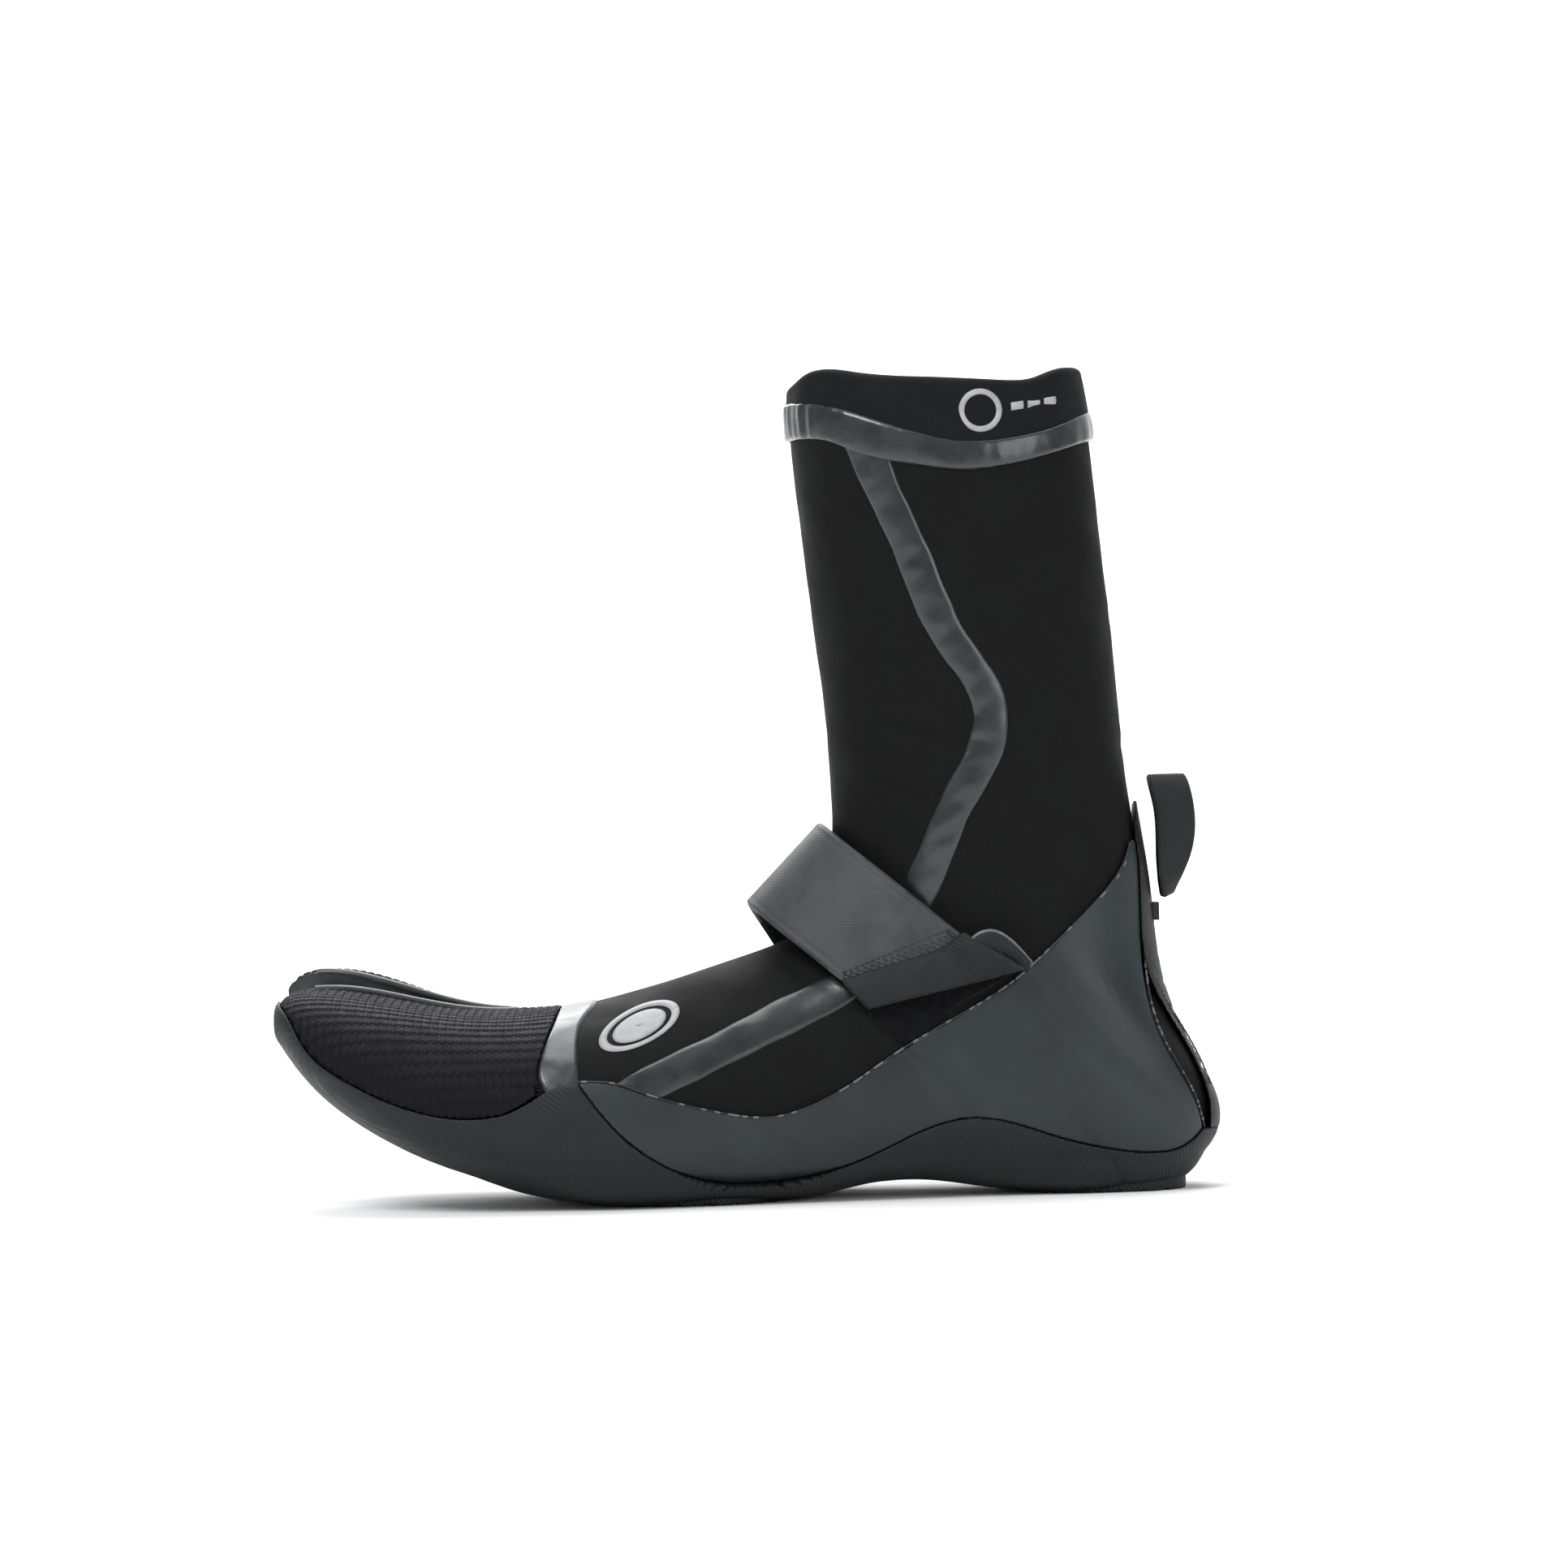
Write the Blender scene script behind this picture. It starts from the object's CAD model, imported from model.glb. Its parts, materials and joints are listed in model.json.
"""Looks for the split-toe neoprene boot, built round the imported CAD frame.

Row frame in metres. Shape numbers are in millimetres and are scaled by MM.
"""
import bmesh
import bpy
import json
import math
import numpy as np
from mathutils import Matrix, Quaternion, Vector
from mathutils.bvhtree import BVHTree


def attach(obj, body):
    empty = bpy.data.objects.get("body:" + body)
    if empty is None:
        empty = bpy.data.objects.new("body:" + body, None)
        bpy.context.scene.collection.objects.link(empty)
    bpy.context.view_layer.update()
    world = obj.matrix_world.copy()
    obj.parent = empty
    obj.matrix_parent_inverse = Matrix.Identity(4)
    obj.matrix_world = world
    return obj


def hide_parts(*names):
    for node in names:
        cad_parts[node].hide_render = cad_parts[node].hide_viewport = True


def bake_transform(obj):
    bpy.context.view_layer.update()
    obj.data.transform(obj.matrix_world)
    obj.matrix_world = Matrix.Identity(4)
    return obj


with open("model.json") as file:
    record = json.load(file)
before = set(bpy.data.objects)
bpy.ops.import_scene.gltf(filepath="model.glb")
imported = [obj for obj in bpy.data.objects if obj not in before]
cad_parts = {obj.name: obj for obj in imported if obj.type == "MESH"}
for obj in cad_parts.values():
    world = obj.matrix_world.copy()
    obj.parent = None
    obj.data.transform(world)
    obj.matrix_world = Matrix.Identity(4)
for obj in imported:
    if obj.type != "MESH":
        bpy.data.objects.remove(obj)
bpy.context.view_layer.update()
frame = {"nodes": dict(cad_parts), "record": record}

MM = 0.001
rng = np.random.default_rng(7)

# ------------------------ the boot's skin

# (front x, front z, back x, back z, outer half-width, inner half-width,
#  height share of the widest level, front roundness, back roundness, big toe's lift)
RIBS = [
    (-230.4, 58.2, -230.4, 48.6, 19.0, 33.0, 0.50, 2.2, 2.2, 3.0),
    (-227.6, 60.2, -227.6, 43.6, 25.0, 37.0, 0.48, 2.2, 2.3, 5.0),
    (-222.0, 60.8, -222.0, 36.8, 31.0, 40.5, 0.46, 2.2, 2.4, 6.5),
    (-212.5, 59.8, -212.5, 28.2, 37.0, 43.5, 0.45, 2.2, 2.5, 7.5),
    (-197.0, 56.8, -197.0, 18.6, 42.5, 46.0, 0.43, 2.3, 2.7, 6.0),
    (-176.0, 53.6, -176.0, 10.4, 46.5, 47.0, 0.41, 2.3, 2.9, 2.5),
    (-150.0, 55.0, -150.0, 5.4, 48.0, 46.0, 0.40, 2.2, 3.1, 0.0),
    (-123.0, 61.2, -123.0, 3.2, 45.5, 42.5, 0.38, 2.0, 3.2, 0.0),
    (-100.0, 68.3, -98.0, 4.0, 41.5, 39.0, 0.36, 1.95, 3.2, 0.0),
    (-86.0, 73.6, -74.0, 5.2, 38.0, 36.5, 0.36, 1.95, 3.2, 0.0),
    (-78.8, 79.6, -48.0, 6.4, 35.5, 35.0, 0.38, 2.0, 3.1, 0.0),
    (-76.2, 86.8, -20.0, 4.2, 34.0, 34.0, 0.42, 2.05, 3.0, 0.0),
    (-75.0, 94.2, 6.0, 4.0, 33.5, 33.5, 0.46, 2.1, 2.9, 0.0),
    (-74.4, 101.6, 24.5, 9.2, 33.5, 33.5, 0.48, 2.1, 2.7, 0.0),
    (-74.3, 109.0, 31.4, 22.5, 33.5, 33.5, 0.50, 2.15, 2.5, 0.0),
    (-74.5, 117.0, 25.2, 38.5, 33.5, 33.5, 0.50, 2.15, 2.3, 0.0),
    (-75.0, 126.5, 16.2, 60.0, 33.5, 33.5, 0.50, 2.2, 2.2, 0.0),
    (-75.7, 137.5, 13.2, 86.0, 33.5, 33.5, 0.50, 2.2, 2.2, 0.0),
    (-76.8, 149.5, 9.8, 111.0, 33.5, 33.5, 0.50, 2.2, 2.2, 0.0),
    (-78.2, 163.0, 7.3, 137.0, 33.8, 33.8, 0.50, 2.2, 2.2, 0.0),
    (-80.0, 179.0, 5.4, 163.0, 34.3, 34.3, 0.50, 2.2, 2.2, 0.0),
    (-82.0, 196.5, 3.2, 189.0, 35.0, 35.0, 0.50, 2.2, 2.2, 0.0),
    (-83.6, 215.0, 1.2, 214.0, 35.6, 35.6, 0.50, 2.2, 2.2, 0.0),
    (-84.4, 238.0, -1.6, 238.0, 36.0, 36.0, 0.50, 2.2, 2.2, 0.0),
]
TOE_SPLIT_Y = 8.0
LIFT_RUN = 20.0
BALL_RIB = 6            # the rib under the toe seam
AROUND = 256            # columns round the boot
CUFF_RIB = 20           # the rib below the cuff tape
ROW_STEP = 0.8
NEOPRENE = 2.9
LINING_OUT, LINING_IN = 3.1, 4.0    # depths of the lining's two faces


def smoothstep(value):
    value = np.clip(value, 0.0, 1.0)
    return value * value * (3.0 - 2.0 * value)


def unit(vectors):
    return vectors / np.linalg.norm(vectors, axis=-1, keepdims=True)


def run_of(points):
    """The distance along a line of points, from 0."""
    return np.concatenate([[0.0], np.cumsum(np.linalg.norm(np.diff(points, axis=0), axis=1))])


def rib_points(rib, count):
    """Evenly spaced points round one rib, from the front point down the outer side and back."""
    fx, fz, bx, bz, outer, inner, widest, round_front, round_back, lift = rib
    level = 2.0 * widest - 1.0
    angle = np.linspace(0.0, 2.0 * math.pi, 2881)
    up, across = np.cos(angle), -np.sin(angle)
    power = np.where(up >= 0.0, 2.0 / round_front, 2.0 / round_back)
    span = np.where(up >= 0.0, 1.0 - level, 1.0 + level)
    share = (level + span * np.sign(up) * np.abs(up) ** power + 1.0) / 2.0
    y = np.sign(across) * np.abs(across) ** power * np.where(across < 0.0, outer, inner)
    x = bx + (fx - bx) * share
    z = bz + (fz - bz) * share
    z += lift * share * smoothstep(0.5 + (y - TOE_SPLIT_Y) / LIFT_RUN)
    dense = np.column_stack([x, y, z])
    run = run_of(dense)
    even = np.linspace(0.0, run[-1], count + 1)[:-1]
    return np.column_stack([np.interp(even, run, dense[:, k]) for k in range(3)])


def natural_spline(knots, values, at):
    """Natural cubic spline of values (one row per knot), read at the given positions."""
    step = np.diff(knots)
    n = len(knots)
    flat = values.reshape(n, -1)
    matrix, right = np.eye(n), np.zeros_like(flat)
    for i in range(1, n - 1):
        matrix[i, i - 1:i + 2] = step[i - 1], 2 * (step[i - 1] + step[i]), step[i]
        right[i] = 6 * ((flat[i + 1] - flat[i]) / step[i] - (flat[i] - flat[i - 1]) / step[i - 1])
    bend = np.linalg.solve(matrix, right)
    i = np.clip(np.searchsorted(knots, at, side="right") - 1, 0, n - 2)
    h, a, b = step[i], (knots[i + 1] - at) / step[i], (at - knots[i]) / step[i]
    h, a, b = h[:, None], a[:, None], b[:, None]
    out = (a * flat[i] + b * flat[i + 1]
           + ((a ** 3 - a) * bend[i] + (b ** 3 - b) * bend[i + 1]) * h * h / 6)
    return out.reshape((len(at),) + values.shape[1:])


RINGS = np.array([rib_points(rib, AROUND) for rib in RIBS])
RUN = np.concatenate([[0.0], np.cumsum(np.linalg.norm(np.diff(RINGS, axis=0), axis=2).mean(axis=1))])
ROWS = int(RUN[-1] / ROW_STEP)
ALONG = np.linspace(0.0, RUN[-1], ROWS)
SKIN = natural_spline(RUN, RINGS, ALONG)


def normals_of(grid):
    """Outward unit normals of a grid that closes round its second axis."""
    around = np.roll(grid, -1, axis=1) - np.roll(grid, 1, axis=1)
    normal = unit(np.cross(np.gradient(grid, axis=0), around))
    outward = (normal * (grid - grid.mean(axis=1, keepdims=True))).sum()
    return normal * np.sign(outward)


NORMAL = normals_of(SKIN)


def crease(points, line, depth, width):
    """A soft furrow with a raised lip, along a side-view line; the height at each point."""
    a, b = np.array(line[0], float), np.array(line[1], float)
    along = (b - a) / np.linalg.norm(b - a)
    rel = points[..., [0, 2]] - a
    s = (rel @ along) / np.linalg.norm(b - a)
    d = rel @ np.array([-along[1], along[0]])
    d = d + 1.6 * np.sin(s * 5.0 + a[0])
    fade = smoothstep(s * 4.0 + 0.6) * smoothstep((1.0 - s) * 4.0 + 0.6)
    return depth * fade * (0.7 * np.exp(-((d - width) / width) ** 2) - np.exp(-(d / width) ** 2))


def waves(points, size, seed):
    """Smooth unevenness: a few crossed sine waves, within about -1 to 1."""
    total = np.zeros(points.shape[:-1])
    maker = np.random.default_rng(seed)
    for _ in range(7):
        direction = maker.normal(size=3)
        direction /= np.linalg.norm(direction)
        pitch = size * maker.uniform(0.6, 1.5)
        total += np.sin(points @ direction / pitch * 2 * math.pi + maker.uniform(0, 6.3))
    return total / 4.0


def neoprene_relief(points):
    """How the soft sock stands off its true form: slack, ankle folds and dents, in millimetres."""
    relief = 0.28 * waves(points, 46.0, 3) + 0.10 * waves(points, 17.0, 4)
    for line, depth, width in (
            (((-72, 131), (-33, 128)), 0.55, 2.6), (((-27, 110.6), (-3, 104)), 0.6, 2.6),
            (((-72, 118), (-48, 113)), 0.5, 2.2), (((-20, 131), (8, 124)), 0.4, 2.8),
            (((-74, 152), (-52, 147)), 0.35, 3.0), (((-20, 168), (4, 160)), 0.3, 3.4),
            (((-70, 190), (-40, 197)), 0.25, 3.6)):
        relief += crease(points, line, depth, width)
    return relief


# ------------------------ mesh helpers

def in_scene(name, data):
    """A new object in the scene."""
    made = bpy.data.objects.new(name, data)
    bpy.context.scene.collection.objects.link(made)
    return made


def add_mesh(name, points, faces, body, material, replaces=(), slot=None):
    """A new closed piece from points in millimetres; the body "ankle" bends across the joint."""
    mesh = bpy.data.meshes.new(name)
    mesh.from_pydata((np.asarray(points) * MM).tolist(), [], [list(map(int, f)) for f in faces])
    mesh.validate()
    mesh.polygons.foreach_set("use_smooth", [True] * len(mesh.polygons))
    piece = in_scene(name, mesh)
    mesh.materials.append(material)
    if body == "ankle":
        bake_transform(piece)
    else:
        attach(piece, body)
    if replaces:
        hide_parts(*replaces)
    face_outward(piece)


def grid_faces(rows, columns, closed=False, start=0):
    """Quads of a grid; closed joins the last column to the first."""
    faces = []
    for i in range(rows - 1):
        for j in range(columns if closed else columns - 1):
            k = (j + 1) % columns
            faces.append((start + i * columns + j, start + (i + 1) * columns + j,
                          start + (i + 1) * columns + k, start + i * columns + k))
    return faces


def slab(top, foot):
    """Points and faces of a closed slab between two open grids of the same size."""
    rows, columns = top.shape[:2]
    points = np.concatenate([top.reshape(-1, 3), foot.reshape(-1, 3)])
    half = rows * columns
    faces = grid_faces(rows, columns)
    faces += [f[::-1] for f in grid_faces(rows, columns, start=half)]
    rim = ([j for j in range(columns)] + [i * columns + columns - 1 for i in range(1, rows)]
           + [(rows - 1) * columns + j for j in range(columns - 2, -1, -1)]
           + [i * columns for i in range(rows - 2, 0, -1)])
    for a, b in zip(rim, rim[1:] + rim[:1]):
        faces.append((a, b, b + half, a + half))
    return points, faces


def face_outward(piece):
    """Recalculates a closed mesh's normals."""
    edit = bmesh.new()
    edit.from_mesh(piece.data)
    bmesh.ops.recalc_face_normals(edit, faces=edit.faces)
    edit.to_mesh(piece.data)
    edit.free()


# The skin as a tree of faces, to lay strips and patches on.
SKIN_FLAT = NORMAL.reshape(-1, 3)
SKIN_FACES = grid_faces(ROWS, AROUND, closed=True)
SKIN_TREE = BVHTree.FromPolygons([Vector(p) for p in SKIN.reshape(-1, 3)], SKIN_FACES)


def smooth_normal(index):
    """The skin's smoothed normal on one of its faces."""
    return unit(SKIN_FLAT[list(SKIN_FACES[index])].mean(axis=0))


def on_side(x, z, side):
    """The skin's point and normal seen from one side at (x, z)."""
    hit = SKIN_TREE.ray_cast(Vector((x, side * 120.0, z)), Vector((0, -side, 0)))
    if hit[0] is None:
        hit = SKIN_TREE.find_nearest(Vector((x, side * 2.0, z)))
    return np.array(hit[0]), smooth_normal(hit[2])


def from_axis(origin, direction):
    """The skin's point and normal where a line from inside the boot leaves it."""
    hit = SKIN_TREE.ray_cast(Vector(origin), Vector(direction))
    return np.array(hit[0]), smooth_normal(hit[2])


def curve_at(points, count):
    """Evenly spaced points on a smooth curve through the given ones."""
    line = np.array(points, float)
    run = run_of(line)
    fine = natural_spline(run, line, np.linspace(0.0, run[-1], 600))
    length = run_of(fine)
    even = np.linspace(0.0, length[-1], count)
    return np.column_stack([np.interp(even, length, fine[:, k]) for k in range(line.shape[1])])


def edge_round(count, length, radius):
    """0 at both ends of a run and 1 inside it, rounded over the radius."""
    d = np.linspace(0.0, length, count)
    d = np.minimum(d, length - d)
    t = np.clip(1.0 - d / radius, 0.0, 1.0)
    return np.sqrt(np.clip(1.0 - t * t, 0.0, 1.0))


def laid_slab(base, normal, height, sunk=0.35):
    """A slab lying on skin points, as high as height at each."""
    return slab(base + normal * height[..., None], base - normal * sunk)


def from_cad(node, voxel, smooth, material, relief=None):
    """A rounded, evenly meshed version of a CAD node, with its own relief; replaces the node."""
    source = frame["nodes"][node]
    work = in_scene(node + "_work", source.data.copy())
    remesh = work.modifiers.new("even", "REMESH")
    remesh.mode = "VOXEL"
    remesh.voxel_size = voxel * MM
    soften = work.modifiers.new("soft", "SMOOTH")
    soften.factor, soften.iterations = 0.5, smooth
    ready = work.evaluated_get(bpy.context.evaluated_depsgraph_get())
    mesh = bpy.data.meshes.new_from_object(ready)
    bpy.data.objects.remove(work)
    if relief is not None:
        count = len(mesh.vertices)
        points, normal = np.empty(count * 3), np.empty(count * 3)
        mesh.vertices.foreach_get("co", points)
        mesh.vertex_normals.foreach_get("vector", normal)
        points, normal = points.reshape(-1, 3), normal.reshape(-1, 3)
        moved = points + normal * relief(points / MM, normal)[:, None] * MM
        mesh.vertices.foreach_set("co", moved.ravel())
    mesh.materials.clear()
    mesh.materials.append(material)
    mesh.polygons.foreach_set("use_smooth", [True] * len(mesh.polygons))
    piece = in_scene(node + "_look", mesh)
    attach(piece, body_name(node))
    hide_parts(node)


def body_name(node):
    """The body that a CAD node is on."""
    bodies = frame["record"]["behaviour"]["bodies"]
    return next(name for name, nodes in bodies.items() if node in nodes)


# ------------------------ materials

def tint(code):
    """Linear colour of a six-figure screen colour."""
    parts = [int(code[i:i + 2], 16) / 255 for i in (0, 2, 4)]
    return [p / 12.92 if p <= 0.04045 else ((p + 0.055) / 1.055) ** 2.4 for p in parts] + [1.0]


def make_material(name, dark, light, rough, patch, bumps, sheen=0.0, coat=0.0, level=0.5):
    """A surface whose colour and gloss drift in patches, with a stack of fine reliefs.

    rough is (least, most); patch is the size of the drift in mm; each relief is
    (kind, pitch in mm, height in mm).
    """
    material = bpy.data.materials.new(name)
    material.use_nodes = True
    nodes, links = material.node_tree.nodes, material.node_tree.links
    shader = nodes["Principled BSDF"]
    for socket, value in (("Specular IOR Level", level), ("Sheen Weight", sheen),
                          ("Sheen Roughness", 0.5), ("Coat Weight", coat), ("Coat Roughness", 0.22)):
        shader.inputs[socket].default_value = value
    place = nodes.new("ShaderNodeTexCoord").outputs["Object"]
    drift = nodes.new("ShaderNodeTexNoise")
    drift.inputs["Scale"].default_value = 1.0 / (patch * MM)
    drift.inputs["Detail"].default_value = 5.0
    links.new(place, drift.inputs["Vector"])
    ramp = nodes.new("ShaderNodeValToRGB")
    for stop, place_at, colour in zip(ramp.color_ramp.elements, (0.34, 0.68), (dark, light)):
        stop.position, stop.color = place_at, tint(colour)
    links.new(drift.outputs["Fac"], ramp.inputs["Fac"])
    links.new(ramp.outputs["Color"], shader.inputs["Base Color"])
    gloss = nodes.new("ShaderNodeMapRange")
    for socket, value in zip(("From Min", "From Max", "To Min", "To Max"), (0.3, 0.7, *rough)):
        gloss.inputs[socket].default_value = value
    links.new(drift.outputs["Fac"], gloss.inputs["Value"])
    links.new(gloss.outputs["Result"], shader.inputs["Roughness"])
    above = None
    for kind, pitch, height in bumps:
        bump = nodes.new("ShaderNodeBump")
        bump.inputs["Strength"].default_value = 1.0
        bump.inputs["Distance"].default_value = height * MM
        links.new(RELIEFS[kind](nodes, links, place, pitch * MM), bump.inputs["Height"])
        if above is not None:
            links.new(above, bump.inputs["Normal"])
        above = bump.outputs["Normal"]
    if above is not None:
        links.new(above, shader.inputs["Normal"])
    return material


WAVE_SCALE = 0.314      # the wave texture's scale for bands one unit apart


def noise_relief(nodes, links, place, pitch):
    """Fine unevenness."""
    noise = nodes.new("ShaderNodeTexNoise")
    noise.inputs["Scale"].default_value = 1.0 / pitch
    noise.inputs["Detail"].default_value = 3.0
    links.new(place, noise.inputs["Vector"])
    return noise.outputs["Fac"]


def cell_relief(nodes, links, place, pitch):
    """Small round tufts."""
    cells = nodes.new("ShaderNodeTexVoronoi")
    cells.inputs["Scale"].default_value = 1.0 / pitch
    links.new(place, cells.inputs["Vector"])
    return cells.outputs["Distance"]


def wave(nodes, links, place, pitch, axis, wobble=0.6):
    """Parallel threads along one axis."""
    bands = nodes.new("ShaderNodeTexWave")
    bands.bands_direction = axis
    bands.inputs["Scale"].default_value = WAVE_SCALE / pitch
    bands.inputs["Distortion"].default_value = wobble
    bands.inputs["Detail"].default_value = 1.0
    links.new(place, bands.inputs["Vector"])
    return bands.outputs["Fac"]


def weave_relief(nodes, links, place, pitch):
    """Crossing threads."""
    mix = nodes.new("ShaderNodeMath")
    mix.operation = "MULTIPLY"
    links.new(wave(nodes, links, place, pitch, "X"), mix.inputs[0])
    links.new(wave(nodes, links, place, pitch, "Z"), mix.inputs[1])
    return mix.outputs["Value"]


def twill_relief(nodes, links, place, pitch):
    """Slanting threads."""
    return wave(nodes, links, place, pitch, "DIAGONAL", 0.3)


RELIEFS = {"noise": noise_relief, "cells": cell_relief, "weave": weave_relief,
           "twill": twill_relief}

JERSEY = make_material("neoprene_jersey", "030404", "09090a", (0.66, 0.82), 14,
                       [("weave", 0.55, 0.05), ("noise", 2.5, 0.10)], level=0.16)
COLLAR = make_material("collar_jersey", "040508", "0a0b10", (0.62, 0.8), 10,
                       [("weave", 0.6, 0.06), ("noise", 1.6, 0.08)], level=0.18)
FLEECE = make_material("fleece_lining", "0e0f11", "1c1e21", (0.85, 0.95), 5,
                       [("cells", 1.3, 0.35), ("noise", 0.7, 0.2)], sheen=0.08, level=0.12)
SOLE_RUBBER = make_material("sole_rubber", "0b0d0e", "14171a", (0.5, 0.66), 9,
                            [("twill", 0.9, 0.12), ("noise", 0.8, 0.04)], level=0.32)
CUP_RUBBER = make_material("cup_rubber", "070809", "0f1112", (0.48, 0.62), 12,
                           [("noise", 1.1, 0.05)], level=0.3)
WING_RUBBER = make_material("wing_rubber", "12191b", "1b2427", (0.4, 0.54), 22,
                            [("noise", 0.7, 0.035), ("noise", 6.0, 0.10)], level=0.42)
TAPE_RUBBER = make_material("seam_tape_rubber", "111314", "1c1f21", (0.22, 0.36), 9,
                            [("noise", 3.4, 0.07), ("noise", 0.7, 0.02)], coat=0.35)
TOE_TAPE_RUBBER = make_material("toe_tape_rubber", "1e2022", "323537", (0.26, 0.42), 5,
                                [("noise", 3.0, 0.10), ("noise", 0.7, 0.03)], coat=0.2)
CUFF_RUBBER = make_material("cuff_tape_rubber", "131517", "222527", (0.2, 0.36), 6,
                            [("noise", 3.4, 0.12), ("noise", 1.0, 0.04)], coat=0.4)
GUSSET_RUBBER = make_material("gusset_rubber", "1b1d1e", "292b2d", (0.34, 0.48), 9,
                              [("noise", 2.0, 0.06)], coat=0.1)
MESH = make_material("abrasion_mesh", "030307", "08080e", (0.58, 0.74), 3,
                     [("noise", 0.5, 0.05)], level=0.16)
WEBBING = make_material("strap_webbing", "272a2c", "373a3c", (0.48, 0.66), 8,
                        [("weave", 0.8, 0.04), ("noise", 0.5, 0.03)], sheen=0.05, level=0.42)
DARK_WEBBING = make_material("dark_webbing", "0f1012", "1b1d1f", (0.6, 0.78), 6,
                             [("twill", 0.7, 0.10), ("noise", 0.5, 0.05)], sheen=0.05, level=0.3)
THREAD = make_material("thread", "4c5053", "63676a", (0.5, 0.65), 2,
                       [("noise", 0.25, 0.05)], sheen=0.1)
DARK_THREAD = make_material("dark_thread", "08090a", "131416", (0.5, 0.65), 2,
                            [("noise", 0.25, 0.05)], sheen=0.05)
PILE = make_material("loop_pile", "050506", "101113", (0.85, 0.98), 2,
                     [("noise", 0.5, 0.35), ("cells", 0.9, 0.3)], sheen=0.06, level=0.1)
FILM = make_material("print_film", "8c8e90", "9fa1a2", (0.4, 0.55), 5,
                     [("noise", 0.8, 0.03)], level=0.35)
FOAM = make_material("insole_foam", "17191b", "24272a", (0.8, 0.92), 4,
                     [("cells", 0.9, 0.2)], sheen=0.08, level=0.2)


# ------------------------ lines on the boot

SIDE_SEAM = [(-139.0, 27.8), (-129.1, 33.5), (-111.6, 41.6), (-95.3, 49.2), (-81.4, 55.7), (-70.9, 61.2),
             (-62.5, 68.5), (-55.0, 79.0), (-47.0, 94.0), (-39.5, 110.5), (-32.3, 123.0),
             (-30.0, 137.0), (-40.0, 155.0), (-50.5, 180.0), (-58.7, 199.0), (-63.5, 212.0)]
TAPE_FRONT = [(-154.0, 22.0), (-155.6, 33.5), (-157.3, 37.0), (-156.5, 43.9), (-152.7, 54.2),
              (-153.5, 75.0)]
TAPE_BACK = [(-145.5, 22.0), (-145.9, 35.8), (-146.6, 43.6), (-145.4, 51.7), (-140.0, 56.8),
             (-138.0, 75.0)]
CUFF_TAPE_TOP = [(-92.0, 224.0), (-84.3, 223.8), (-74.7, 222.4), (-63.3, 218.6), (-49.6, 213.7),
                 (-33.6, 210.5), (-19.8, 211.7), (-8.2, 214.9), (0.7, 219.2), (8.0, 223.0)]
CUFF_TAPE_FOOT = [(-92.0, 214.5), (-84.6, 213.4), (-72.7, 211.5), (-63.6, 207.1), (-52.2, 204.5),
                  (-36.1, 202.3), (-22.3, 203.7), (-8.4, 207.5), (1.2, 211.2), (8.0, 214.0)]
SOLE_TOP = [(-240.0, 60.0), (-228.2, 55.7), (-222.0, 45.6), (-213.0, 38.5), (-197.1, 30.7),
            (-183.4, 27.1), (-174.2, 26.6), (-164.9, 28.5), (-155.6, 33.5), (-146.3, 35.6)]
WING_TOP = [(-146.3, 35.6), (-137.1, 35.1), (-128.0, 32.1), (-116.6, 28.6), (-105.2, 26.0),
            (-93.7, 24.8), (-82.1, 27.7), (-70.4, 33.6), (-61.1, 39.6), (-44.7, 49.0),
            (-26.0, 60.0), (-11.9, 72.3), (-2.5, 81.3), (4.6, 89.1), (8.6, 98.0)]
WING_BACK = [(26.9, 17.2), (24.2, 26.5), (16.0, 41.7), (12.8, 51.0), (11.1, 71.7), (10.6, 98.0)]
CUP_FRONT = [(11.3, 109.5), (10.5, 92.4), (11.2, 76.3), (13.0, 61.3), (20.4, 46.2), (25.4, 36.9),
             (28.4, 28.8), (29.6, 20.7), (29.0, 16.0)]
CUFF_TOP = [(-92.0, 226.0), (-84.2, 228.4), (-80.2, 231.0), (-65.3, 230.6), (-42.3, 228.4),
            (-24.0, 227.3), (-14.7, 227.9), (-7.8, 230.5), (-1.3, 231.7), (8.0, 231.7)]


def height_of(line, x):
    """The height of a side-view line at x."""
    fine = curve_at(line, 400)
    return np.interp(x, fine[:, 0], fine[:, 1])


def across_of(line, z):
    """The x of a rising side-view line at a height."""
    fine = curve_at(line, 400)
    return np.interp(z, fine[:, 1], fine[:, 0])


# ------------------------ sock

def row_of(rib):
    """The skin row at a rib."""
    return int(round(np.interp(RUN[rib], ALONG, np.arange(ROWS))))


def trimmed(first, line, drop=0.0):
    """Skin points and normals from a row up to a side-view line near the cuff."""
    columns_p, columns_n = [], []
    top_rows = np.arange(row_of(CUFF_RIB), ROWS)
    for j in range(AROUND):
        column = SKIN[top_rows, j]
        gap = column[:, 2] - height_of(line, column[:, 0]) + drop
        last = np.interp(0.0, gap, top_rows)
        rows = np.linspace(first, last, int(ROWS - first))
        columns_p.append([np.interp(rows, np.arange(ROWS), SKIN[:, j, k]) for k in range(3)])
        columns_n.append([np.interp(rows, np.arange(ROWS), NORMAL[:, j, k]) for k in range(3)])
    points = np.array(columns_p).transpose(2, 0, 1)
    normals = np.array(columns_n).transpose(2, 0, 1)
    return points, unit(normals)


def ring_shell(rings):
    """Points and faces of a closed wall: rings joined in turn, and the last to the first."""
    rows, columns = rings.shape[:2]
    faces = grid_faces(rows, columns, closed=True)
    for j in range(columns):
        k = (j + 1) % columns
        faces.append(((rows - 1) * columns + j, j, k, (rows - 1) * columns + k))
    return rings.reshape(-1, 3), faces


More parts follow.
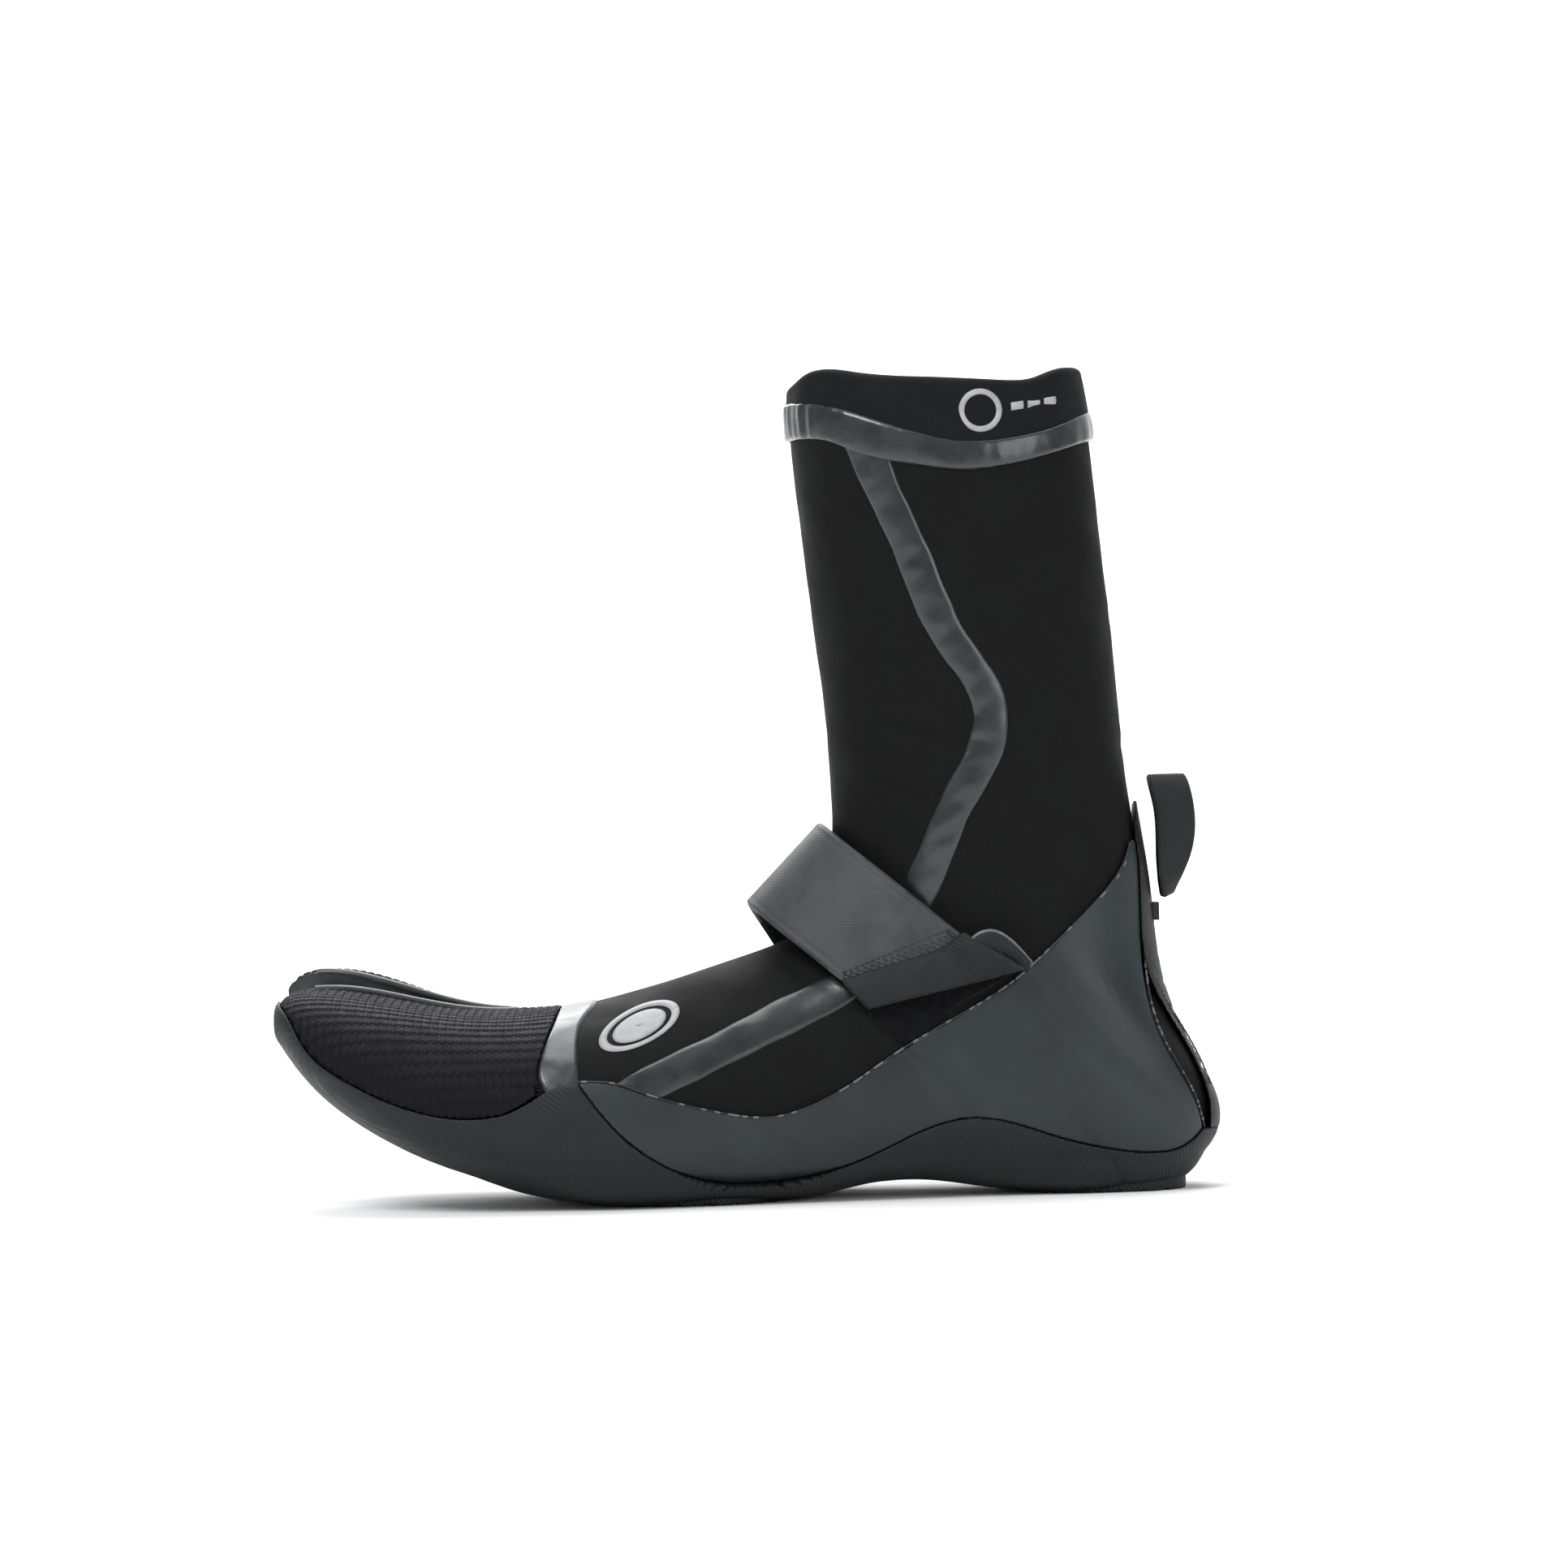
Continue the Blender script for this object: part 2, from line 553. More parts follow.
def tube(outer, inner):
    """A closed hose wall: outer and inner skins joined at both ends."""
    return ring_shell(np.concatenate([outer, inner[::-1]]))


def make_sock():
    """The neoprene of foot and shaft as one skin that bends at the ankle."""
    points, normal = trimmed(row_of(BALL_RIB) - 2, CUFF_TAPE_TOP, drop=4.0)
    relief = neoprene_relief(points)[..., None]
    outer, inner = points + normal * relief, points - normal * NEOPRENE
    add_mesh("neoprene_sock", *tube(outer, inner), "ankle", JERSEY,
             replaces=("vamp_panel", "quarter_panel", "ankle_flex_gusset",
                       "shaft_front_panel", "shaft_rear_panel"), slot="neoprene")


def make_lining():
    """The fleece inside the neoprene, up to the cuff."""
    points, normal = trimmed(row_of(BALL_RIB) - 12, CUFF_TOP, drop=9.0)
    fuzz = 0.12 * waves(points, 5.0, 9)[..., None]
    add_mesh("fleece_lining",
             *tube(points - normal * LINING_OUT, points - normal * (LINING_IN + fuzz)), "ankle",
             FLEECE, replaces=("lining_foot", "lining_shaft"), slot="lining")


def make_collar():
    """The cuff: jersey outside, rolled rim, jersey facing inside."""
    points, normal = trimmed(row_of(CUFF_RIB), CUFF_TOP, drop=2.0)
    keep = []
    for j in range(AROUND):
        column = points[:, j]
        start = np.interp(0.0, column[:, 2] - height_of(CUFF_TAPE_FOOT, column[:, 0]) - 4.0,
                          np.arange(len(column)))
        keep.append(np.linspace(start, len(column) - 1, 26))
    keep = np.array(keep).T
    low = np.floor(keep).astype(int).clip(0, len(points) - 2)
    mix = (keep - low)[..., None]
    j = np.arange(AROUND)
    base = points[low, j] * (1 - mix) + points[low + 1, j] * mix
    out = normal[low, j]
    out[..., 2] = 0.0
    out = unit(out)
    bulge = 0.35 * np.sin(np.linspace(0, math.pi, 26))[:, None, None]
    lump = 0.25 * waves(base, 14.0, 12)[..., None]
    outer = base + out * (0.15 + bulge + lump)
    up = np.array([0.0, 0.0, 1.0])
    rim = [outer[-1] - out[-1] * 2.0 * (1 - math.cos(a)) + up * 2.0 * math.sin(a)
           for a in np.linspace(0.25, math.pi - 0.15, 9)]
    inside = [outer[-1] - out[-1] * (4.0 + 0.3 * math.sin(d)) - up * d for d in np.linspace(0.8, 14, 9)]
    back = [inside[-1] + out[-1] * 3.4, outer[0] - out[0] * 3.0]
    shell = np.concatenate([outer, rim, inside, back])
    add_mesh("cuff_collar_look", *ring_shell(shell), "shaft", COLLAR,
             replaces=("cuff_collar",), slot="neoprene")


# ------------------------ tapes

def strip_on_side(line, width, side, count, steps):
    """Skin points and normals of an even strip along a side-view line."""
    middle = curve_at(line, count)
    slope = unit(np.gradient(middle, axis=0))
    across = np.column_stack([-slope[:, 1], slope[:, 0]])
    base, normal = np.empty((count, steps, 3)), np.empty((count, steps, 3))
    for i in range(count):
        wobble = 0.35 * math.sin(i * 0.11) + 0.2 * math.sin(i * 0.37 + 2)
        for k, w in enumerate(np.linspace(-0.5, 0.5, steps)):
            x, z = middle[i] + across[i] * w * (width + wobble)
            base[i, k], normal[i, k] = on_side(x, z, side)
    return base, normal


def make_side_tapes():
    """The glossy tapes over the side seams, thinner at their top ends."""
    count, steps = 300, 15
    for name, side in (("outer", -1), ("inner", 1)):
        base, normal = strip_on_side(SIDE_SEAM, 10.0, side, count, steps)
        crown = 0.35 + 0.75 * edge_round(steps, 10.0, 5.0)[None, :] ** 1.5
        ridge = crown * edge_round(steps, 10.0, 0.9)[None, :] * edge_round(count, 240.0, 1.2)[:, None]
        ridge = ridge * (1.0 - 0.6 * smoothstep((np.arange(count) - 0.95 * count) / 8.0))[:, None]
        lift = neoprene_relief(base)
        height = ridge * (1 + 0.12 * waves(base, 9.0, 21)) + np.maximum(lift, -0.2)
        add_mesh(f"side_seam_tape_{name}", *laid_slab(base, normal, height), "ankle",
                 TAPE_RUBBER, slot="tape",
                 replaces=(f"lower_seam_tape_{name}", f"upper_seam_tape_{name}"))


def make_toe_tape():
    """The tape round the toe box: up one side, over the vamp and down the other."""
    count, steps = 190, 17
    base, normal = np.empty((count, steps, 3)), np.empty((count, steps, 3))
    for i, angle in enumerate(np.linspace(-2.02, 2.02, count)):
        direction = np.array([0.0, math.sin(angle), math.cos(angle)])
        first, _ = from_axis((-150.0, 0.0, 29.0), direction)
        front, rear = across_of(TAPE_FRONT, first[2]), across_of(TAPE_BACK, first[2])
        for k, w in enumerate(np.linspace(0.0, 1.0, steps)):
            origin = (front * (1 - w) + rear * w, 0.0, 29.0)
            base[i, k], normal[i, k] = from_axis(origin, direction)
    crown = 0.45 + 0.4 * edge_round(steps, 11.0, 5.5)[None, :]
    height = crown * edge_round(steps, 11.0, 0.8)[None, :] * edge_round(count, 150.0, 0.8)[:, None]
    height = height * (1 + 0.10 * waves(base, 8.0, 22))
    add_mesh("toe_tape", *laid_slab(base, normal, height), "foot", TOE_TAPE_RUBBER,
             replaces=("toe_seam_tape",), slot="tape")


def ring_strip(top_line, foot_line, count, steps):
    """Skin points and normals of a band round the shaft between two side-view lines."""
    base, normal = np.empty((steps, count, 3)), np.empty((steps, count, 3))
    for j in range(count):
        angle = 2 * math.pi * j / count
        direction = np.array([math.cos(angle), math.sin(angle), 0.0])
        first, _ = from_axis((-40.0, 0.0, 213.0), direction)
        low, high = height_of(foot_line, first[0]), height_of(top_line, first[0])
        for k, w in enumerate(np.linspace(0.0, 1.0, steps)):
            origin = (-40.0, 0.0, low + (high - low) * w)
            base[k, j], normal[k, j] = from_axis(origin, direction)
    return base, normal


def make_cuff_tape():
    """The tape round the cuff, wrinkled at the front."""
    count, steps = 260, 15
    base, normal = ring_strip(CUFF_TAPE_TOP, CUFF_TAPE_FOOT, count, steps)
    front = smoothstep((-base[..., 0] - 62.0) / 16.0)
    girth = np.linspace(0, 2 * math.pi, count, endpoint=False)[None, :]
    wrinkle = front * 0.35 * (np.sin(girth * 64) * 0.6 + np.sin(girth * 41 + 1.0) * 0.4)
    crown = 0.55 + 0.5 * edge_round(steps, 9.5, 4.7)[:, None]
    height = (crown + wrinkle + 0.16 * waves(base, 7.0, 23)) * edge_round(steps, 9.5, 0.9)[:, None]
    height = height + 0.1
    add_mesh("cuff_tape", *tube(base + normal * height[..., None], base - normal * 0.4), "shaft",
             CUFF_RUBBER, replaces=("cuff_seal_tape",), slot="tape")


# ------------------------ rubber

def wing_relief(points, normal):
    """Soft folds in the side rubber, on its outer faces only."""
    out = np.abs(normal[:, 1]) > 0.2
    folds = 0.07 * waves(points, 38.0, 31)
    for line, depth, width in ((((-26, 66), (14, 24)), 0.62, 3.4), (((-60, 47), (-34, 20)), 0.55, 3.2),
                               (((-100, 26), (-84, 10)), 0.3, 2.6)):
        folds = folds + crease(points, line, depth, width)
    return np.where(out, np.maximum(folds, -0.5), 0.0)


def cup_relief(points, normal):
    """Flex grooves round the back of the heel cup."""
    steps = np.array([34.0, 42.0, 50.0, 58.0, 66.0, 74.0])
    back = smoothstep((points[:, 0] - 15.0) / 8.0)
    groove = np.exp(-((points[:, 2, None] - steps) / 0.9) ** 2).sum(axis=1)
    return -0.55 * groove * back


def mesh_relief(points, normal):
    """Raised diamonds of the abrasion mesh, laid along the boot and round its girth."""
    x, y, z = points[..., 0], points[..., 1], points[..., 2]
    girth = 40.0 * np.arctan2(y, z - 20.0)
    u = (x + 0.7 * girth) * math.pi / 2.3
    v = (x - 0.7 * girth) * math.pi / 2.3
    return 0.36 * smoothstep((np.cos(u) * np.cos(v) + 0.25) / 0.6)


def sole_relief(points, normal):
    """A shallow weave on the wrapped sides; the tread swells round both grip pads."""
    side = smoothstep((0.75 - np.abs(normal[:, 2])) / 0.3)
    weave = 0.05 * np.cos(points[:, 0] * 5.2) * np.cos(points[:, 2] * 5.2)
    x, z = points[:, 0], points[:, 2]
    heel = smoothstep((x + 58.0) / 30.0)
    ball = smoothstep((x + 200.0) / 45.0) * smoothstep((-62.0 - x) / 25.0)
    swell = 2.6 * np.maximum(heel, ball) * smoothstep((-normal[:, 2] - 0.02) / 0.5)
    swell = swell * smoothstep((11.0 - z) / 6.0)
    return weave * side + np.minimum(swell, np.maximum(z - 0.25, 0.0))


def make_toe_backing():
    """Closes the toe box behind the mesh's lower rear corner, and the mesh itself there."""
    for name, height_at, sunk, material, slot in (
            ("toe_box_backing", lambda base: np.full(base.shape[:2], -0.1), 2.4, JERSEY, "neoprene"),
            ("toe_mesh_corner", lambda base: 0.6 + mesh_relief(base, None), 0.3, MESH, "mesh")):
        columns, rows = 90, 64
        base, normal = np.empty((columns, rows, 3)), np.empty((columns, rows, 3))
        for i, x in enumerate(np.linspace(-178.0, -158.4, columns)):
            foot = height_of(SOLE_TOP, x) + 0.5
            for k, z in enumerate(np.linspace(foot, 38.0, rows)):
                base[i, k], normal[i, k] = on_side(x, z, -1)
        add_mesh(name, *laid_slab(base, normal, height_at(base), sunk), "foot", material,
                 slot=slot)


def make_rubber():
    from_cad("outsole", 0.55, 3, SOLE_RUBBER, sole_relief)
    from_cad("wing_outer", 0.4, 3, WING_RUBBER, wing_relief)
    from_cad("wing_inner", 0.4, 3, WING_RUBBER, wing_relief)
    from_cad("heel_cup", 0.4, 3, CUP_RUBBER, cup_relief)
    from_cad("toe_mesh_overlay", 0.3, 1, MESH, mesh_relief)
    from_cad("toe_box", 0.7, 2, JERSEY, lambda points, normal: np.full(len(points), -0.3))
    from_cad("toe_split_gusset", 0.35, 3, GUSSET_RUBBER)
    from_cad("heel_grip_pad", 0.5, 2, SOLE_RUBBER)
    from_cad("forefoot_grip_pad", 0.5, 2, SOLE_RUBBER)


# ------------------------ strap, patches and prints

FLAP = [((-77.0, -0.15, 105.0), (-98.7, -0.15, 82.6)), ((-75.5, -10.0, 103.8), (-96.6, -10.0, 80.9)),
        ((-70.5, -19.8, 99.6), (-91.5, -19.3, 76.7)), ((-61.0, -28.8, 91.8), (-84.0, -26.8, 70.6)),
        ((-49.0, -34.3, 81.7), (-77.5, -30.8, 65.2)), ((-36.9, -36.6, 71.4), (-72.7, -33.2, 61.3))]
BAND = [((-77.0, 0.15, 105.0), (-98.7, 0.15, 82.6)), ((-75.9, 10.0, 102.6), (-97.3, 10.0, 79.8)),
        ((-72.5, 19.5, 96.5), (-93.5, 19.2, 73.5)), ((-66.5, 28.2, 86.5), (-88.5, 27.0, 64.5)),
        ((-60.0, 33.8, 75.0), (-84.0, 33.0, 55.0)), ((-54.0, 36.6, 64.0), (-80.0, 37.2, 46.0)),
        ((-50.0, 38.0, 54.0), (-77.0, 39.4, 38.0))]
TAB = [((-38.6, -36.6, 71.8), (-73.2, -33.2, 61.9)), ((-35.9, -37.2, 70.5), (-72.2, -33.8, 60.5)),
       ((-28.0, -37.9, 66.8), (-69.0, -35.2, 56.8)), ((-22.0, -38.4, 63.4), (-65.8, -36.4, 53.6))]
STRAP_HALF = 1.1        # half the webbing's thickness
STRAP_WIDTH = 32.0
FINE = 120              # steps each way on the grid that stitches are placed on


def ribbon_grid(stations, along, across):
    """Middle-surface points and outward normals of a strap, dense both ways."""
    pairs = np.array(stations, float)
    run = run_of(pairs.mean(axis=1))
    dense = natural_spline(run, pairs, np.linspace(0.0, run[-1], along))
    w = np.linspace(0.0, 1.0, across)[None, :, None]
    points = dense[:, :1] * (1 - w) + dense[:, 1:] * w
    normal = unit(np.cross(np.gradient(points, axis=1), np.gradient(points, axis=0)))
    return points, normal * np.sign((normal * (points - [-40.0, 0.0, 60.0])).sum())


def strap_slab(stations, along, across, length):
    """A strap of webbing, square at its fold and rounded at its other end."""
    points, normal = ribbon_grid(stations, along, across)
    cap = edge_round(along, length, 0.8)
    cap[:along // 2] = 1.0
    body = edge_round(across, STRAP_WIDTH, 1.1)[None, :] * cap[:, None] * STRAP_HALF
    top = body + webbing_texture(points)
    return slab(points + normal * top[..., None], points - normal * body[..., None])


def webbing_texture(points):
    """Grooves along both selvages, and a slight waviness."""
    rows, columns = points.shape[:2]
    w = np.linspace(0.0, 1.0, columns)[None, :] * np.ones((rows, 1))
    selvage = -0.22 * (np.exp(-((w - 0.07) / 0.012) ** 2) + np.exp(-((w - 0.93) / 0.012) ** 2))
    return selvage + 0.10 * waves(points, 22.0, 41)


def stitch(name, runs, radius, body, material):
    """Runs of thread as round beads."""
    curve = bpy.data.curves.new(name, "CURVE")
    curve.dimensions = "3D"
    curve.bevel_depth = radius * MM
    curve.bevel_resolution = 2
    curve.use_fill_caps = True
    for points in runs:
        spline = curve.splines.new("POLY")
        spline.points.add(len(points) - 1)
        for target, point in zip(spline.points, np.asarray(points) * MM):
            target.co = (*point, 1.0)
    curve.materials.append(material)
    piece = in_scene(name, curve)
    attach(piece, body)


def zigzag(stations, start, end, teeth, lift):
    """Points of a zig-zag across a strap between two shares of its length."""
    points, normal = ribbon_grid(stations, FINE + 1, FINE + 1)
    line = []
    for i in range(2 * teeth + 1):
        w = 3 + int((FINE - 6) * i / (2 * teeth))
        s = int(FINE * (start if i % 2 else end))
        line.append(points[s, w] + normal[s, w] * lift)
    return line


def dashes(stations, share, count, lift):
    """A straight row of single stitches across a strap."""
    points, normal = ribbon_grid(stations, FINE + 1, FINE + 1)
    row, lifted = int(FINE * share), points + normal * lift
    places = np.linspace(5, FINE - 5, count + 1).astype(int)
    return [[lifted[row, a], lifted[row, (a + b) // 2 + 1]] for a, b in zip(places[:-1], places[1:])]


def make_strap():
    """The flap and band of webbing, the rolled fold between them, and their stitching."""
    band_body = body_name("strap_band")
    add_mesh("strap_flap_look", *strap_slab(FLAP, 90, 44, 60.0), "strap_flap", WEBBING,
             replaces=("strap_flap",), slot="webbing")
    add_mesh("strap_band_look", *strap_slab(BAND, 100, 44, 80.0), band_body, WEBBING,
             replaces=("strap_band",), slot="webbing")
    stitch("strap_end_zigzag", [zigzag(FLAP, 0.945, 0.985, 17, STRAP_HALF + 0.12)], 0.2,
           "strap_flap", DARK_THREAD)
    stitch("strap_end_row", dashes(FLAP, 0.925, 19, STRAP_HALF + 0.1), 0.18, "strap_flap",
           DARK_THREAD)
    fold = (np.array(FLAP[0]) + np.array(BAND[0])) / 2
    stitch("strap_fold", [fold[0] + (fold[1] - fold[0]) * np.linspace(0.02, 0.98, 30)[:, None]],
           STRAP_HALF, band_body, WEBBING)
    points, normal = ribbon_grid(FLAP, FINE + 1, FINE + 1)
    bar = [points[int(FINE * s), 6] + normal[int(FINE * s), 6] * (STRAP_HALF + 0.25)
           for s in np.linspace(0.93, 0.99, 6)]
    stitch("strap_end_bartack", [bar], 0.55, "strap_flap", DARK_THREAD)
    stitch("strap_anchor_zigzag", [zigzag(BAND, 0.94, 0.985, 17, STRAP_HALF + 0.12)], 0.2,
           band_body, DARK_THREAD)


def make_tab():
    """The folded pull tab beyond the strap's end; its rear corner curls away from the boot."""
    along, across = 34, 60
    points, normal = ribbon_grid(TAB, along, across)
    w = np.linspace(1.0, 0.0, across)[None, :]
    s = np.linspace(0.0, 1.0, along)[:, None]
    curl = 4.2 * smoothstep((w - 0.72) / 0.28) * (0.45 + 0.55 * s)
    points = points + normal * curl[..., None]
    points[..., 2] += 2.2 * smoothstep((w - 0.8) / 0.2) * (1 - s)
    thick = 0.95 * edge_round(across, 38.0, 1.0)[None, :] * edge_round(along, 15.0, 1.0)[:, None]
    lump = 0.14 * waves(points, 4.0, 51) + 1.5 * np.sin(math.pi * s) ** 0.7
    add_mesh("strap_pull_tab_look", *slab(points + normal * (thick + lump)[..., None],
             points - normal * thick[..., None]), "strap_flap", DARK_WEBBING,
             replaces=("strap_pull_tab", "strap_end_binding"), slot="webbing")


def make_tab_curl():
    """The rear end of the folded tab, standing open as a low arch above its fold."""
    along, across = 40, 12
    rim = curve_at([(-38.4, 68.8), (-36.9, 72.2), (-31.6, 74.6), (-26.0, 71.6), (-20.6, 65.4)], along)
    root = curve_at([(-38.0, 67.6), (-30.0, 66.2), (-21.2, 63.2)], along)
    w = np.linspace(0.0, 1.0, across)
    points = np.empty((along, across, 3))
    points[..., [0, 2]] = root[:, None] * (1 - w[None, :, None]) + rim[:, None] * w[None, :, None]
    arch = np.sin(np.linspace(0.3, 2.8, along))[:, None]
    points[..., 1] = -39.4 - 1.9 * np.sin(w * 2.4)[None, :] * arch
    normal = unit(np.cross(np.gradient(points, axis=0), np.gradient(points, axis=1)))
    normal *= -np.sign(normal[..., 1].mean())
    thick = 0.6 * edge_round(along, 24.0, 0.9)[:, None] * edge_round(across, 8.0, 0.8)[None, :]
    thick = thick + 0.08 * np.cos(points[..., 0] * 4.5) * np.cos(points[..., 2] * 4.5)
    add_mesh("strap_tab_curl", *slab(points + normal * thick[..., None],
             points - normal * 0.5), "strap_flap", DARK_WEBBING, slot="webbing")
    stitch("strap_tab_curl_edge", [points[:, -1] + normal[:, -1] * 0.1], 0.5, "strap_flap", THREAD)


def make_edges():
    """The raw, thread-flecked edges of the wings and heel cup."""
    lines = (WING_TOP, 1.2), (WING_BACK, 1.2), (CUP_FRONT[1:-2], 1.7)
    for name, side in (("outer", -1), ("inner", 1)):
        for k, (line, lift) in enumerate(lines, start=1):
            places = curve_at(line, 240)
            run = []
            for i, (x, z) in enumerate(places):
                point, normal = on_side(x, z, side)
                run.append(point + normal * (lift + 0.05 * math.sin(i * 0.9) + 0.04 * math.sin(i * 2.3)))
            stitch(f"raw_edge_{name}_{k}", [run], 0.26, "foot", WING_RUBBER)
            flecks = [run[i:i + 3] for i in rng.choice(236, 44, replace=False)]
            stitch(f"edge_threads_{name}_{k}", flecks, 0.3, "foot", THREAD)


def make_split_lips():
    """The smooth rolled rubber lip round the top of the toe split."""
    half, (root_x, y) = 3.1, (-168.5, 8.0)
    flank = [(root_x, half), (-195.0, half + 0.5), (-215.0, half + 1.6), (-222.0, half + 2.9)]
    fine = curve_at(flank, 60)
    bend = [(root_x + half * math.sin(a), y + half * math.cos(a)) for a in np.linspace(0.1, 3.04, 20)]
    path = [(x, y + w) for x, w in fine[::-1]] + bend + [(x, y - w) for x, w in fine]
    run = []
    for x, across in path:
        hit = SKIN_TREE.ray_cast(Vector((x, across, 150.0)), Vector((0, 0, -1)))
        run.append(np.array(hit[0]) + np.array([0.0, 0.0, 0.25]))
    run = np.array(run)
    for _ in range(6):
        run[1:-1] = (run[:-2] + run[1:-1] * 2 + run[2:]) / 4
    stitch("toe_split_lip", [run], 1.25, "foot", GUSSET_RUBBER)


def make_loop_patch():
    """The fuzzy loop patch on the outer side."""
    along, across = 70, 30
    top = curve_at([(-70.0, 58.5), (-62.0, 65.5), (-54.5, 71.0), (-46.0, 73.0), (-34.0, 69.0),
                    (-22.5, 65.3)], along)
    foot = curve_at([(-63.0, 49.0), (-60.0, 46.0), (-57.0, 43.8), (-44.0, 51.6), (-32.0, 58.6),
                     (-22.0, 65.0)], along)
    base, normal = np.empty((along, across, 3)), np.empty((along, across, 3))
    for i in range(along):
        for k, w in enumerate(np.linspace(0.0, 1.0, across)):
            base[i, k], normal[i, k] = on_side(*(top[i] * (1 - w) + foot[i] * w), -1)
    height = 1.15 * edge_round(along, 60.0, 1.0)[:, None] * edge_round(across, 25.0, 1.0)[None, :]
    height = height + 0.18 * waves(base, 2.2, 61)
    add_mesh("fastener_loop_patch_look", *laid_slab(base, normal, height), "foot", PILE,
             replaces=("fastener_loop_patch",), slot="fastener")


def film(name, centre, shape, node, body):
    """A thin printed film on the outer side: a side-view grid of places about a centre."""
    base, normal = np.empty(shape.shape[:2] + (3,)), np.empty(shape.shape[:2] + (3,))
    for i in range(shape.shape[0]):
        for k in range(shape.shape[1]):
            base[i, k], normal[i, k] = on_side(centre[0] + shape[i, k, 0],
                                               centre[1] + shape[i, k, 1], -1)
    height = np.full(shape.shape[:2], 0.42 if body == "foot" else 0.75)
    height[[0, -1]] *= 0.6
    add_mesh(name, *laid_slab(base, normal, height, 0.1), body, FILM, slot="film",
             replaces=(node,) if node else ())


def ovals(radii, half_long, half_wide, tilt):
    """Nested ovals as a side-view grid, one row for each radius."""
    c, s = math.cos(tilt), math.sin(tilt)
    turn = np.linspace(0, 2 * math.pi, 73)
    return np.array([[((half_long * r * math.cos(a)) * c - (half_wide * r * math.sin(a)) * s,
                       (half_long * r * math.cos(a)) * s + (half_wide * r * math.sin(a)) * c)
                      for a in turn] for r in radii])


def make_prints():
    """A plain oval badge on the vamp and a ring with three bars on the cuff."""
    centre, badge = (-129.5, 50.4), (12.0, 5.0, math.radians(23))
    film("vamp_badge_rim", centre, ovals((0.8, 0.9, 1.0), *badge), "vamp_badge", "foot")
    film("vamp_badge_heart", centre, ovals(np.linspace(0.02, 0.66, 7), *badge), None, "foot")
    ring = ovals((4.4, 5.0, 6.0), 1.0, 1.0, 0.0)
    film("cuff_print_ring", (-30.6, 218.7), ring, "cuff_print", "shaft")
    for k in range(3):
        bar = np.array([[(x, z + 0.16 * x) for x in np.linspace(-1.7, 1.7, 8)] for z in (-1.1, 0, 1.1)])
        film(f"cuff_print_bar_{k + 1}", (-20.3 + 4.6 * k, 219.9 + 0.7 * k), bar, None, "shaft")


# ------------------------ heel loop

def make_heel_loop():
    """Webbing that rises from the heel edge-on, turns flat to the side and folds over."""
    # place, then the turn of its width from across the heel (0) to along the boot (90), and width
    half = [((20.1, -2.3, 82.4), 25, 6.0), ((20.8, -3.4, 87.0), 48, 7.8), ((22.0, -4.1, 93.5), 74, 9.6),
            ((22.8, -4.2, 101.0), 88, 10.8), ((22.4, -4.2, 108.0), 90, 11.0),
            ((21.2, -3.3, 113.6), 90, 11.0), ((20.5, 0.0, 116.0), 90, 11.0)]
    count, steps = 150, 24
    full = half + [((x, -y, z), 180 - a, w) for (x, y, z), a, w in half[-2::-1]]
    table = np.array([(*p, a, w) for p, a, w in full], float)
    run = run_of(table[:, :3])
    dense = natural_spline(run, table, np.linspace(0.0, run[-1], count))
    path, turn, width = dense[:, :3], np.radians(dense[:, 3]), dense[:, 4]
    side = np.column_stack([np.sin(turn), np.cos(turn), np.zeros(count)])
    tangent = unit(np.gradient(path, axis=0))
    side = unit(side - tangent * (side * tangent).sum(axis=1, keepdims=True))
    out = np.cross(tangent, side)
    w = np.linspace(-0.5, 0.5, steps)
    middle = path[:, None] + side[:, None] * (w[None, :, None] * width[:, None, None])
    thick = 0.75 * edge_round(steps, 11.0, 0.9)[None, :] * np.ones((count, 1))
    thick[[0, -1]] = 0.4
    groove = -0.12 * (np.exp(-((w - 0.38) / 0.02) ** 2) + np.exp(-((w + 0.38) / 0.02) ** 2))[None, :]
    normal = np.repeat(out[:, None], steps, axis=1)
    lift = normal * (thick + groove)[..., None]
    add_mesh("heel_pull_loop_look", *slab(middle + lift, middle - lift), "pull_loop", DARK_WEBBING,
             replaces=("heel_pull_loop",), slot="webbing")


# ------------------------ carried-over CAD nodes

def dress(node, material):
    """Gives a CAD node that is shown as it is its own material."""
    target = frame["nodes"][node]
    target.data.materials.clear()
    target.data.materials.append(material)


def dress_nodes():
    dress("insole", FOAM)
    dress("strap_anchor_patch", DARK_WEBBING)
    dress("strap_hook_patch", PILE)
    dress("pull_loop_bartack", DARK_THREAD)


# ------------------------ stage, lights and camera

